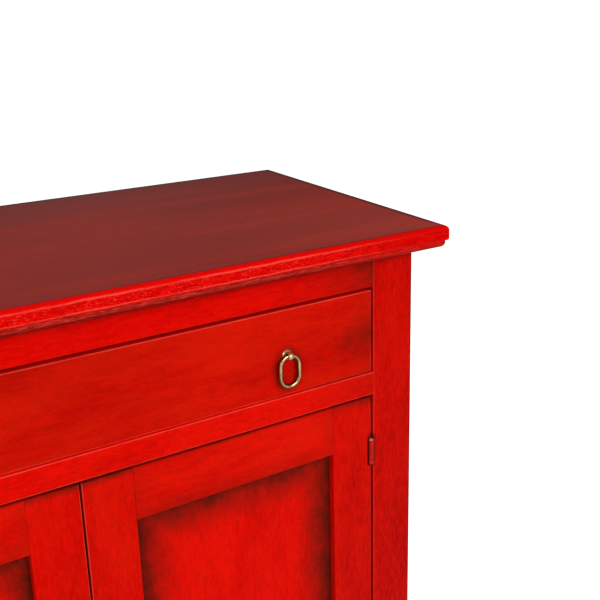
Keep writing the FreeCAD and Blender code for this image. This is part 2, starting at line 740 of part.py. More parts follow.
def hinge_pin(name, sign, low):
    """A pin with a rounded cap at each end."""
    axis = (at_side(sign, "pin_across"), "pin_depth")
    solids = [rod(f"{name}_rod", "pin_radius", "hinge_length", (*axis, low), "+z")]
    for end, level, first, last in (("upper", f"{low} + hinge_length", 0, 90), ("lower", low, -90, 0)):
        cap = doc.addObject("Part::Sphere", f"{name}_{end}_cap")
        cap.Angle1 = first
        cap.Angle2 = last
        solids.append(put(bind(cap, Radius="pin_cap_radius"), *axis, level))
    return join(f"{name}_pin", solids)


POST_PLATE = ("jamb - leaf_thickness", "jamb")
DOOR_PLATE = ("door_edge", "door_edge + leaf_thickness")
post_leaves, pins = [], []
for name, sign in SIDES.items():
    door_leaves = []
    for end, low in HINGES.items():
        hinge = f"{name}_{end}"
        post_leaves.append(hinge_leaf(f"{hinge}_post", sign, POST_PLATE, low, (0, 2, 4),
                                      post_screws[name][1]))
        door_leaves.append(hinge_leaf(f"{hinge}_door", sign, DOOR_PLATE, low, (1, 3),
                                      door_screws[name][1]))
        pins.append(hinge_pin(hinge, sign, low))
    piece(f"{name}_door_hinge_leaves", group(f"{name}_door_hinge_leaves", door_leaves))
    piece(f"{name}_door_hinge_screws", group(f"{name}_door_hinge_screws", door_screws[name][0]))
piece("post_hinge_leaves", group("post_hinge_leaves", post_leaves))
piece("hinge_pins", group("hinge_pins", pins))
piece("post_hinge_screws", group("post_hinge_screws", post_screws["left"][0] + post_screws["right"][0]))

# Test every solid, then write each piece to its own file
doc.recompute()
for thing in doc.Objects:
    if "Invalid" in thing.State or "Error" in thing.State:
        raise RuntimeError(f"{thing.Label} failed: {thing.State}")
os.makedirs("parts", exist_ok=True)
for node, thing in pieces.items():
    if thing.Shape.isNull() or not thing.Shape.isValid():
        raise RuntimeError(f"{node} has no valid shape")
    thing.Shape.exportStep(f"parts/{node}.step")
print(len(pieces), "pieces written")
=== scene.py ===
import json
import math

import bpy
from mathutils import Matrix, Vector


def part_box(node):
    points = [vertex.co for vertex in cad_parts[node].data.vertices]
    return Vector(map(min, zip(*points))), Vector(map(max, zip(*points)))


# Red lacquered sideboard: antiqued red over open-grained wood, a browner top, brass ring pulls.

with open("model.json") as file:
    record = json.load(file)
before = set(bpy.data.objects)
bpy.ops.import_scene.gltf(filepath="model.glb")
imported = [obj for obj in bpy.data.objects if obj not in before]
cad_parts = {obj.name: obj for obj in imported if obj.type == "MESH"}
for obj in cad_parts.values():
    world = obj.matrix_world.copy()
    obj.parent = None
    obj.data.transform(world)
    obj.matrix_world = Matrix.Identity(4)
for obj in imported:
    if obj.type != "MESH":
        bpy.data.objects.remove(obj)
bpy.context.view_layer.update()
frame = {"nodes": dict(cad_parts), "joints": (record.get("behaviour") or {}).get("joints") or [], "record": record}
nodes = frame["nodes"]
slots = {part["node"]: part["material_slot"] for part in frame["record"]["subparts"]}

X, Y, Z = range(3)
ENDS = ("Low", "High")

# Sizes that the frame doesn't give, in metres
PANEL_ENTRY = 0.007
THICKEST_PANEL = 0.05
TENON = 0.022
DOOR_TENON = 0.025
HINGE_LENGTH = 0.034
MOULDING_HEIGHT = 0.009
# Further than any piece reaches
FAR = 9.0


def linear(red, green, blue):
    """A display colour of 0 to 255 as the linear colour that shaders take."""
    def channel(value):
        value /= 255
        return value / 12.92 if value <= 0.04045 else ((value + 0.055) / 1.055) ** 2.4
    return channel(red), channel(green), channel(blue), 1.0


# Node helpers

# The mix node's sockets for colours: the amount, the two colours and the result
MIX_INPUTS = (0, 6, 7)
MIX_OUTPUT = 2
NOISE_MIDDLE = 0.5


def feed(tree, socket, value):
    """Link an output to a socket, or set the socket's own value."""
    if isinstance(value, bpy.types.NodeSocket):
        tree.links.new(value, socket)
    else:
        socket.default_value = value


def node(tree, kind, settings=None, **inputs):
    """A new node with its settings and its inputs."""
    made = tree.nodes.new(kind)
    for name, value in (settings or {}).items():
        setattr(made, name, value)
    for name, value in inputs.items():
        feed(tree, made.inputs[name], value)
    return made


def maths(tree, operation, first, second=0.0):
    made = node(tree, "ShaderNodeMath", {"operation": operation})
    feed(tree, made.inputs[0], first)
    feed(tree, made.inputs[1], second)
    return made.outputs[0]


def plus(tree, first, second):
    return maths(tree, "ADD", first, second)


def minus(tree, first, second):
    return maths(tree, "SUBTRACT", first, second)


def times(tree, first, *others):
    for other in others:
        first = maths(tree, "MULTIPLY", first, other)
    return first


def larger(tree, first, second):
    return maths(tree, "MAXIMUM", first, second)


def smaller(tree, first, second):
    return maths(tree, "MINIMUM", first, second)


def size_of(tree, value):
    """A value without its sign."""
    return maths(tree, "ABSOLUTE", value)


def away(tree, value, level):
    """How far a value lies from a level, either way."""
    return size_of(tree, minus(tree, value, level))


def share_of(tree, value, middle, radius):
    """Where a value lies on a scale that is 0 at the middle and 1 a radius beyond it."""
    return maths(tree, "DIVIDE", minus(tree, value, middle), radius)


def raised(tree, base, value, amount):
    """A base with an amount of a value on top of it."""
    return plus(tree, base, times(tree, value, amount))


def vector_maths(tree, operation, first, second=(0, 0, 0)):
    made = node(tree, "ShaderNodeVectorMath", {"operation": operation})
    feed(tree, made.inputs[0], first)
    feed(tree, made.inputs[1], second)
    return made.outputs["Value" if operation in ("LENGTH", "DOT_PRODUCT") else "Vector"]


def flat_length(tree, first, second):
    """How long the vector of two values is."""
    made = node(tree, "ShaderNodeCombineXYZ", X=first, Y=second)
    return vector_maths(tree, "LENGTH", made.outputs[0])


def split(tree, vector):
    return node(tree, "ShaderNodeSeparateXYZ", Vector=vector).outputs


def ramp(tree, value, start, end, low=0.0, high=1.0):
    """A smooth step that is low where the value is at the start, and high where it is at the end."""
    made = node(tree, "ShaderNodeMapRange", {"interpolation_type": "SMOOTHSTEP"})
    for socket, given in zip(made.inputs, (value, start, end, low, high)):
        feed(tree, socket, given)
    return made.outputs[0]


def mix(tree, amount, first, second):
    """Blend two colours."""
    made = node(tree, "ShaderNodeMix", {"data_type": "RGBA"})
    for socket, value in zip(MIX_INPUTS, (amount, first, second)):
        feed(tree, made.inputs[socket], value)
    return made.outputs[MIX_OUTPUT]


def noise(tree, place, scale, detail, roughness):
    made = node(tree, "ShaderNodeTexNoise", Vector=place, Scale=scale, Detail=detail, Roughness=roughness)
    return made.outputs[0]


def drawn_noise(tree, place, fineness, detail, roughness):
    """Noise with its own fineness along each axis."""
    return noise(tree, vector_maths(tree, "MULTIPLY", place, fineness), 1.0, detail, roughness)


def swing(tree, value, size):
    """A noise brought about zero and stretched to a size."""
    return times(tree, minus(tree, value, NOISE_MIDDLE), size)


def new_group(name, inputs, outputs):
    """An empty node group with named sockets, and its input sockets."""
    group = bpy.data.node_groups.new(name, "ShaderNodeTree")
    for way, sockets in (("INPUT", inputs), ("OUTPUT", outputs)):
        for label, kind in sockets.items():
            group.interface.new_socket(label, in_out=way, socket_type=f"NodeSocket{kind}")
    return group, group.nodes.new("NodeGroupInput").outputs


def close_group(group, **results):
    end = group.nodes.new("NodeGroupOutput")
    for label, value in results.items():
        feed(group, end.inputs[label], value)


def arris_distance(group, place, low, high):
    """How far a point lies from the nearest arris of a box.

    Each axis has a distance to the nearer of two sides, and the middle one of the three counts.
    """
    above = vector_maths(group, "ABSOLUTE", vector_maths(group, "SUBTRACT", place, low))
    below = vector_maths(group, "ABSOLUTE", vector_maths(group, "SUBTRACT", high, place))
    first, second, third = split(group, vector_maths(group, "MINIMUM", above, below))
    capped = smaller(group, larger(group, first, second), third)
    return larger(group, smaller(group, first, second), capped)


# Patterns shared by many pieces

VECTOR_INPUTS = ("Place", "Low", "High", "Reach Low", "Reach High", "Soil Low", "Soil High",
                 "Wear Low", "Wear High", "Grain", "Flecks", "Seed")
VALUE_INPUTS = ("Wear", "Depth", "Warmth", "Open")
PATTERN_INPUTS = dict.fromkeys(VECTOR_INPUTS, "Vector") | dict.fromkeys(VALUE_INPUTS, "Float")
PATTERN_OUTPUTS = {"Color": "Color", "Roughness": "Float", "Height": "Float"}

# How fine the noises are along each axis, in waves to the metre, for each way that the grain runs
GRAIN = {"x": (70, 280, 280), "y": (280, 70, 280), "z": (280, 280, 70)}
ACROSS = (280, 280, 280)
FLECKS = {"x": (230, 400, 400), "y": (400, 230, 400), "z": (400, 400, 230)}

RED = linear(206, 3, 1)
WARM_RED = linear(204, 24, 4)
DEEP_RED = linear(152, 3, 1)
BRIGHT_RED = linear(232, 14, 5)
# Lighter red of the rubbed arrises: wear with a painted highlight
RUBBED_AND_LIT_RED = linear(236, 82, 66)
# Brighter red painted on edges in the gaps' shade, as painted light
GAP_LIGHT_RED = linear(255, 8, 3)
# Brown of the glaze, the pores and the painted shade
BROWN_GLAZE_AND_SHADE = linear(66, 20, 10)
# Steps of noise: where each starts and ends, and how much there is of it where that isn't 0 and 1
WARM_STEP = (0.30, 0.66, 0.4, 1.5)
BROAD_STEP = (0.62, 0.34, -0.05, 0.42)
PATCHY_STEP = (0.62, 0.36, -0.08, 0.12)
FINE_STEP = (0.36, 0.66, 0.0, 0.6)
PORE_STEP = (0.50, 0.30)
PORE_STRENGTH = 0.3
MOTTLE = 1.3
GLAZE_AND_SHADE_STEP = (0.0, 0.95)
# Widths of the arrises rubbed lighter, as wear and painted highlight, in metres
RUBBED_AND_LIT_STEP = (0.0013, 0.0003)
RUBBED_AND_LIT_RAGGED = 0.0012

PALE_WOOD = linear(196, 154, 108)
BAND_WOOD = linear(156, 112, 72)
FIBRE_WOOD = linear(128, 88, 54)
PORE_WOOD = linear(84, 54, 32)
HANDLED_WOOD = linear(98, 66, 42)
WOOD_BAND_STEP = (0.36, 0.66)
WOOD_FIBRE_STEP = (0.42, 0.70, 0.0, 0.5)
WOOD_PORE_STEP = (0.60, 0.70)
WOOD_PORE_STRENGTH = 0.45
HANDLED_STEP = (0.004, 0.0005, 0.0, 0.4)


def lacquer_pattern():
    """Red lacquer: fine grain, brown glaze and painted shade fading in from the ends, and arrises rubbed lighter
    as wear and a painted highlight.
    """
    group, given = new_group("lacquer_pattern", PATTERN_INPUTS, PATTERN_OUTPUTS)
    point = given["Place"]
    place = vector_maths(group, "ADD", point, given["Seed"])
    along = vector_maths(group, "MULTIPLY", place, given["Grain"])
    streaks = noise(group, along, scale=1.0, detail=5.0, roughness=0.66)
    flecks = drawn_noise(group, place, given["Flecks"], detail=3.0, roughness=0.62)
    clouds = noise(group, along, scale=0.036, detail=4.0, roughness=0.6)
    drifts = noise(group, along, scale=0.12, detail=6.0, roughness=0.7)
    smudges = noise(group, place, scale=30.0, detail=6.0, roughness=0.7)

    warm = times(group, ramp(group, drifts, *WARM_STEP), given["Warmth"])
    colour = mix(group, warm, RED, WARM_RED)
    broad = ramp(group, clouds, *BROAD_STEP)
    patchy = ramp(group, drifts, *PATCHY_STEP)
    tone = plus(group, plus(group, broad, patchy), given["Depth"])
    colour = mix(group, tone, colour, DEEP_RED)
    fine = times(group, ramp(group, streaks, *FINE_STEP), given["Open"])
    colour = mix(group, fine, colour, BRIGHT_RED)
    pores = ramp(group, flecks, *PORE_STEP)
    colour = mix(group, times(group, pores, PORE_STRENGTH, given["Open"]), colour, BROWN_GLAZE_AND_SHADE)

    mottle = swing(group, smudges, MOTTLE)
    # Brown that fades in from the ends set for each piece: glaze at joints and corners, painted shade under the
    # top and by gaps
    soiled_and_shaded = 0.0
    for end, ahead, behind in (("Low", point, given["Low"]), ("High", given["High"], point)):
        depth = vector_maths(group, "SUBTRACT", ahead, behind)
        share = vector_maths(group, "DIVIDE", depth, given[f"Reach {end}"])
        left = vector_maths(group, "SUBTRACT", (1, 1, 1), share)
        for side in split(group, vector_maths(group, "MULTIPLY", left, given[f"Soil {end}"])):
            soiled_and_shaded = larger(group, soiled_and_shaded, side)
    glaze = ramp(group, times(group, soiled_and_shaded, plus(group, 1.0, mottle)), *GLAZE_AND_SHADE_STEP)
    colour = mix(group, glaze, colour, BROWN_GLAZE_AND_SHADE)

    # Arrises rubbed lighter: wear, with a painted highlight on top
    arris = arris_distance(group, point, given["Wear Low"], given["Wear High"])
    ragged = raised(group, arris, mottle, RUBBED_AND_LIT_RAGGED)
    rubbed = times(group, ramp(group, ragged, *RUBBED_AND_LIT_STEP), given["Wear"])
    colour = mix(group, rubbed, colour, RUBBED_AND_LIT_RED)

    rough = raised(group, base=0.30, value=clouds, amount=0.18)
    rough = raised(group, base=rough, value=glaze, amount=0.2)
    height = raised(group, base=streaks, value=pores, amount=-0.8)
    close_group(group, Color=colour, Roughness=rough, Height=height)
    return group


def bare_wood_pattern():
    """Plain sealed wood: growth bands, fine grain and pores, darker along handled edges."""
    group, given = new_group("bare_wood_pattern", PATTERN_INPUTS, PATTERN_OUTPUTS)
    point = given["Place"]
    place = vector_maths(group, "ADD", point, given["Seed"])
    along = vector_maths(group, "MULTIPLY", place, given["Grain"])
    longer = vector_maths(group, "DIVIDE", given["Grain"], ACROSS)
    drawn = vector_maths(group, "MULTIPLY", along, longer)
    bands = noise(group, drawn, scale=0.14, detail=4.0, roughness=0.6)
    fibres = noise(group, drawn, scale=1.1, detail=4.0, roughness=0.65)
    pits = noise(group, along, scale=2.6, detail=2.0, roughness=0.5)

    colour = mix(group, ramp(group, bands, *WOOD_BAND_STEP), PALE_WOOD, BAND_WOOD)
    colour = mix(group, ramp(group, fibres, *WOOD_FIBRE_STEP), colour, FIBRE_WOOD)
    pores = ramp(group, pits, *WOOD_PORE_STEP)
    colour = mix(group, times(group, pores, WOOD_PORE_STRENGTH), colour, PORE_WOOD)
    arris = arris_distance(group, point, given["Wear Low"], given["Wear High"])
    handled = times(group, ramp(group, arris, *HANDLED_STEP), given["Wear"])
    colour = mix(group, handled, colour, HANDLED_WOOD)

    rough = raised(group, base=0.48, value=fibres, amount=0.25)
    height = raised(group, base=fibres, value=pores, amount=-0.7)
    close_group(group, Color=colour, Roughness=rough, Height=height)
    return group


LACQUER = lacquer_pattern()
BARE_WOOD = bare_wood_pattern()


# What single pieces have over the shared patterns, with all distances in metres

hinge_joint = next(joint for joint in frame["joints"] if joint["name"] == "right_door_hinge")
PIN_X, PIN_Y = hinge_joint["pos_m"][:2]
leaf_low, leaf_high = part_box("right_door_hinge_leaves")
HINGE_LOWS = (leaf_low.z, leaf_high.z - HINGE_LENGTH)
# The side of the sideboard that a hinged piece is on
HINGED = {
    "left_door_hinge_stile": -1,
    "right_door_hinge_stile": 1,
    "front_left_post": -1,
    "front_right_post": 1,
}
HINGE_STRENGTH = 0.85
HINGE_RAGGED = 0.004
BARREL_STEP = (0.0085, 0.0058)
BARREL_RISE = 0.002
BARREL_FADE = 0.009
CORNER_ACROSS = (0.026, 0.002)
CORNER_DOWN = (0.015, 0.003)
BLOT_STEP = (0.40, 0.62)
ARRIS_STEP = (0.0056, 0.0020, 0.0, 0.8)

MIDDLE_SMOKE = (0.22, 0.04, 0.0, 0.10)
SMOKE_FROM_END = 0.002
SMOKE_HEIGHT = 0.052
SMOKE_HALF_LENGTH = 0.054
SMOKE_HALF_HEIGHT = 0.040
SMOKE_RAGGED = 2.0
SMOKE_STEP = (1.15, -0.1, 0.0, 0.48)

# Painted light on upper edges in gaps: its steps down, back and along, in metres
GAP_LIGHT_DOWN = (0.0006, 0.0002)
GAP_LIGHT_BACK = (0.0006, 0.0016)
GAP_LIGHT_ALONG = (0.22, 0.31)
# How much painted light the upper edge in a gap keeps at its ends
GAP_LIGHT_AT_ENDS = {"drawer_front": 1.0, "middle_rail": 0.15}

RINGS = {
    "drawer_front": ("drawer_left_ring", "drawer_right_ring"),
    "left_door_meeting_stile": ("left_door_ring",),
    "right_door_meeting_stile": ("right_door_ring",),
}
# The halo's middle line and its step, in half sizes of the ring
HALO_RADIUS = 1.14
HALO_STEP = (0.44, 0.04, 0.0, 0.28)


def hinge_shadow_and_glaze(tree, place, colour, name):
    """Painted shadow beside the hinge barrels, glaze in a door's hinge corner, and painted shade along a post's
    outer front arris.
    """
    low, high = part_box(name)
    side = HINGED[name]
    x, y, z = split(tree, place)
    aside = minus(tree, x, side * PIN_X)
    off = flat_length(tree, aside, minus(tree, y, PIN_Y))
    ragged = times(tree, noise(tree, place, scale=140.0, detail=4.0, roughness=0.65), HINGE_RAGGED)
    # Painted shadow of each barrel on the face beside it
    near = ramp(tree, plus(tree, off, ragged), *BARREL_STEP)
    half = HINGE_LENGTH / 2
    level = 0.0
    for hinge_low in HINGE_LOWS:
        beyond = away(tree, z, hinge_low + half + BARREL_RISE)
        level = larger(tree, level, ramp(tree, beyond, half + BARREL_FADE, half))
    near = times(tree, near, level)
    if "stile" in name:
        across = ramp(tree, size_of(tree, aside), *CORNER_ACROSS)
        down = ramp(tree, z, *(high.z - depth for depth in CORNER_DOWN))
        blots = noise(tree, place, scale=150.0, detail=4.0, roughness=0.7)
        corner_glaze_and_arris_shade = times(tree, across, down, ramp(tree, blots, *BLOT_STEP))
    else:
        # Painted shade along the post's outer front arris
        outer = minus(tree, x, high.x if side > 0 else low.x)
        arris = flat_length(tree, outer, minus(tree, y, low.y))
        corner_glaze_and_arris_shade = ramp(tree, plus(tree, arris, ragged), *ARRIS_STEP)
    near = larger(tree, near, corner_glaze_and_arris_shade)
    return mix(tree, times(tree, near, HINGE_STRENGTH), colour, BROWN_GLAZE_AND_SHADE)


def drawer_smoke(tree, place, colour):
    """Darker glaze in a soft patch at mid-height by each end of the drawer front, and over its middle."""
    low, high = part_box("drawer_front")
    x, _, z = split(tree, place)
    out = size_of(tree, x)
    colour = mix(tree, ramp(tree, out, *MIDDLE_SMOKE), colour, BROWN_GLAZE_AND_SHADE)
    along = share_of(tree, out, high.x - SMOKE_FROM_END, SMOKE_HALF_LENGTH)
    up = share_of(tree, z, low.z + SMOKE_HEIGHT, SMOKE_HALF_HEIGHT)
    ragged = swing(tree, noise(tree, place, scale=45.0, detail=5.0, roughness=0.62), SMOKE_RAGGED)
    off = plus(tree, flat_length(tree, along, up), ragged)
    return mix(tree, ramp(tree, off, *SMOKE_STEP), colour, BROWN_GLAZE_AND_SHADE)


def gap_top_painted_light(tree, place, colour, name):
    """Painted light: brighter red on an upper edge that lies in shade in a gap, less of it towards the ends."""
    low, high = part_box(name)
    x, y, z = split(tree, place)
    on_top = ramp(tree, z, *(high.z - depth for depth in GAP_LIGHT_DOWN))
    behind = ramp(tree, y, *(low.y + depth for depth in GAP_LIGHT_BACK))
    kept = ramp(tree, size_of(tree, x), *GAP_LIGHT_ALONG, 1.0, GAP_LIGHT_AT_ENDS[name])
    return mix(tree, times(tree, on_top, behind, kept), colour, GAP_LIGHT_RED)


def pull_halo(tree, place, colour, ring):
    """Glaze that wiping leaves round a ring pull, with a painted soft shadow in the same band."""
    low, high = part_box(ring)
    middle = (low + high) / 2
    half = (high - low) / 2
    x, _, z = split(tree, place)
    across = share_of(tree, x, middle.x, half.x)
    up = share_of(tree, z, middle.z, half.z)
    off = away(tree, flat_length(tree, across, up), HALO_RADIUS)
    return mix(tree, ramp(tree, off, *HALO_STEP), colour, BROWN_GLAZE_AND_SHADE)


# Materials

WHITE = (1, 1, 1, 1)
RED_GLEAM = (1, 0.12, 0.06, 1)
LACQUER_GLOSS = 0.03
TOP_GLOSS = 0.015
HINGE_GLOSS = 0.25
WOOD_GLOSS = 0.3
# Each piece is cut from another place in the pattern, these steps on and back after the span
SEED_STEPS = (0.731, 0.417, 0.593)
SEED_SPAN = 5


def new_material(name):
    """An empty material with its shader, and the place of a point on the piece."""
    material = bpy.data.materials.new(name)
    material.use_nodes = True
    tree = material.node_tree
    tree.nodes.clear()
    shader = tree.nodes.new("ShaderNodeBsdfPrincipled")
    end = tree.nodes.new("ShaderNodeOutputMaterial")
    tree.links.new(shader.outputs[0], end.inputs[0])
    place = tree.nodes.new("ShaderNodeTexCoord").outputs["Object"]
    return material, tree, shader, place


def bump(tree, shader, height, strength, distance):
    made = node(tree, "ShaderNodeBump", Height=height, Strength=strength, Distance=distance)
    tree.links.new(made.outputs[0], shader.inputs["Normal"])


def finish_shader(tree, shader, colour, rough):
    tree.links.new(colour, shader.inputs["Base Color"])
    tree.links.new(rough, shader.inputs["Roughness"])


def gloss(shader, level, tint):
    shader.inputs["Specular IOR Level"].default_value = level
    shader.inputs["Specular Tint"].default_value = tint


def patterned(name, pattern, settings, level, tint):
    """A wood material for one piece, from a shared pattern and the piece's own outline."""
    material, tree, shader, place = new_material(name)
    made = tree.nodes.new("ShaderNodeGroup")
    made.node_tree = pattern
    tree.links.new(place, made.inputs["Place"])
    number = len(bpy.data.materials)
    made.inputs["Seed"].default_value = [number * step % SEED_SPAN for step in SEED_STEPS]
    for label, value in settings.items():
        made.inputs[label].default_value = value
    colour = made.outputs["Color"]
    if name in HINGED:
        colour = hinge_shadow_and_glaze(tree, place, colour, name)
    if name == "drawer_front":
        colour = drawer_smoke(tree, place, colour)
    if name in GAP_LIGHT_AT_ENDS:
        colour = gap_top_painted_light(tree, place, colour, name)
    for ring in RINGS.get(name, ()):
        colour = pull_halo(tree, place, colour, ring)
    finish_shader(tree, shader, colour, made.outputs["Roughness"])
    gloss(shader, level, tint)
    bump(tree, shader, made.outputs["Height"], strength=0.35, distance=0.0004)
    return material


# The top's field: its colours, its steps of noise, and its steps in metres from the middle
FIELD_DARK = linear(138, 35, 24)
FIELD_LIGHT = linear(166, 45, 31)
FIELD_STREAK = linear(112, 30, 22)
FIELD_PALE = linear(186, 72, 62)
FIELD_MIDDLE = linear(158, 30, 14)
# Painted sheen: the grey that the field turns towards the back
FIELD_BACK_SHEEN = linear(90, 46, 42)
# Dark of the line round the field, and of the painted shade on the rims
LINE_AND_RIM_SHADE = linear(40, 14, 13)
FIELD_BAND_STEP = (0.30, 0.70)
FIELD_STREAK_STEP = (0.45, 0.68, 0.0, 0.45)
PALE_FROM = 0.1
PALE_STRENGTH = 0.42
MIDDLE_STEP = (0.26, 0.02, 0.0, 0.3)
BACK_SHEEN_STRENGTH = 0.45


def top_field(tree, place, bands, streaks):
    """The flat of the top: long bands and streaks, paler to the front corners, and greyer to the back as a painted
    sheen.
    """
    low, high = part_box("top_board")
    x, y, _ = split(tree, place)
    out = size_of(tree, x)
    field = mix(tree, ramp(tree, bands, *FIELD_BAND_STEP), FIELD_DARK, FIELD_LIGHT)
    field = mix(tree, ramp(tree, streaks, *FIELD_STREAK_STEP), field, FIELD_STREAK)
    sideways = ramp(tree, out, PALE_FROM, high.x, 0.0, PALE_STRENGTH)
    forwards = ramp(tree, y, high.y / 2, low.y)
    field = mix(tree, times(tree, sideways, forwards), field, FIELD_PALE)
    field = mix(tree, ramp(tree, out, *MIDDLE_STEP), field, FIELD_MIDDLE)
    # Painted sheen: greyer towards the back
    return mix(tree, ramp(tree, y, 0.0, high.y, 0.0, BACK_SHEEN_STRENGTH), field, FIELD_BACK_SHEEN)


# The top's edge: its colours, its steps of noise, and its steps in metres from the upper face
EDGE_DEEP = linear(190, 3, 1)
EDGE_BRIGHT = linear(214, 7, 4)
EDGE_ROUND = linear(218, 6, 4)
EDGE_PALE_FLECK = linear(240, 60, 48)
EDGE_DARK_FLECK = linear(140, 6, 4)
EDGE_END = linear(160, 2, 2)
# Lighter red of the edge's rubbed lines: wear with a painted highlight
EDGE_RUBBED_AND_LIT = linear(246, 92, 76)
# The parts of the half width between which the wear passes into that of the ends
END_PARTS = (0.5, 0.9)
EDGE_STREAK_STEP = (0.38, 0.62)
ROUND_BOTTOM = (0.0036, 0.0054)
ROUND_SHARE = 0.15
PALE_FLECK_STEP = (0.54, 0.68)
DARK_FLECK_STEP = (0.46, 0.34, 0.0, 0.5)
END_STRENGTH = 0.15
LINE_RAGGED = 0.0034
LINE_LENGTH_STEP = (0.36, 0.62, 0.35, 1.0)
LINE_CORE = 0.0002
# Each line's height from the upper face or from the step, its width and its strength; the lines are wear with a
# painted highlight
UPPER_LINE = (-0.0048, 0.0017, 0.46)
LOWER_LINE = (0.0029, 0.0012, 0.36)


def moulded_edge(tree, place, streaks, flecks, towards_end, rubbed):
    """The upper part of the top's edge: bright red with flecks and two lines rubbed lighter, as wear and painted
    highlight.
    """
    low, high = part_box("top_board")
    z = split(tree, place)[Z]
    smudges = noise(tree, place, scale=30.0, detail=5.0, roughness=0.68)
    lengths = drawn_noise(tree, place, fineness=(16, 4, 4), detail=3.0, roughness=0.6)
    edge = mix(tree, ramp(tree, streaks, *EDGE_STREAK_STEP), EDGE_DEEP, EDGE_BRIGHT)
    face = ramp(tree, z, *(high.z - depth for depth in ROUND_BOTTOM), ROUND_SHARE, 1.0)
    edge = mix(tree, minus(tree, 1.0, face), edge, EDGE_ROUND)
    pale = times(tree, ramp(tree, flecks, *PALE_FLECK_STEP), rubbed, face)
    edge = mix(tree, pale, edge, EDGE_PALE_FLECK)
    dark = times(tree, ramp(tree, flecks, *DARK_FLECK_STEP), face)
    edge = mix(tree, dark, edge, EDGE_DARK_FLECK)
    edge = mix(tree, times(tree, towards_end, END_STRENGTH), edge, EDGE_END)

    ragged = plus(tree, z, swing(tree, smudges, LINE_RAGGED))
    kept = raised(tree, base=1.0, value=towards_end, amount=-0.95)
    arris_marks = times(tree, kept, ramp(tree, lengths, *LINE_LENGTH_STEP))
    step = low.z + MOULDING_HEIGHT
    for reference, (height, width, strength) in ((high.z, UPPER_LINE), (step, LOWER_LINE)):
        off = away(tree, ragged, reference + height)
        line = times(tree, ramp(tree, off, width, LINE_CORE, 0.0, strength), arris_marks)
        edge = mix(tree, line, edge, EDGE_RUBBED_AND_LIT)
    return edge


# The ovolo under it, brown from glaze and painted shade: its colours, its steps of noise, and its step in metres
# from the underside
OVOLO_DARK = linear(128, 20, 13)
OVOLO_LIGHT = linear(188, 46, 36)
OVOLO_FOOT_SHADE = linear(104, 14, 9)
OVOLO_FLECK = linear(214, 84, 70)
OVOLO_STEP = (0.36, 0.66)
OVOLO_FLECK_STEP = (0.56, 0.72, 0.0, 0.7)
FOOT_TOP = (0.0060, 0.0015)


def brushed_ovolo(tree, place, rubbed):
    """The narrower moulding under the edge: brown glaze with painted shade, brushed along its length, and painted
    shade darker at its foot.
    """
    low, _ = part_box("top_board")
    z = split(tree, place)[Z]
    brushed = drawn_noise(tree, place, fineness=(90, 620, 620), detail=4.0, roughness=0.62)
    ovolo = mix(tree, ramp(tree, brushed, *OVOLO_STEP), OVOLO_DARK, OVOLO_LIGHT)
    ovolo = mix(tree, ramp(tree, z, *(low.z + height for height in FOOT_TOP)), ovolo, OVOLO_FOOT_SHADE)
    pale = times(tree, ramp(tree, brushed, *OVOLO_FLECK_STEP), rubbed)
    return mix(tree, pale, ovolo, OVOLO_FLECK)


# How the parts of the top meet, in metres from its step, its outline or its upper face
OVOLO_TOP = (0.0016, 0.0002)
# The back has no moulded edge, so the field runs on over it
BACK_RUN = 0.0055
FIELD_INSET = (0.0046, 0.0056)
FIELD_DEPTH = (0.0012, 0.0004)
LINE_INSET = 0.0058
LINE_STEP = (0.0014, 0.0003, 0.0, 0.8)
# Painted shade on the rims of the ends and back: its strength, its depth and its steps in metres
RIM_STRENGTH = 0.75
RIM_DEPTH = (0.0030, 0.0016)
RIM_FROM_ENDS = (0.016, 0.006)
RIM_FROM_FRONT = (0.004, 0.045)
RIM_FROM_BACK = (0.008, 0.003)


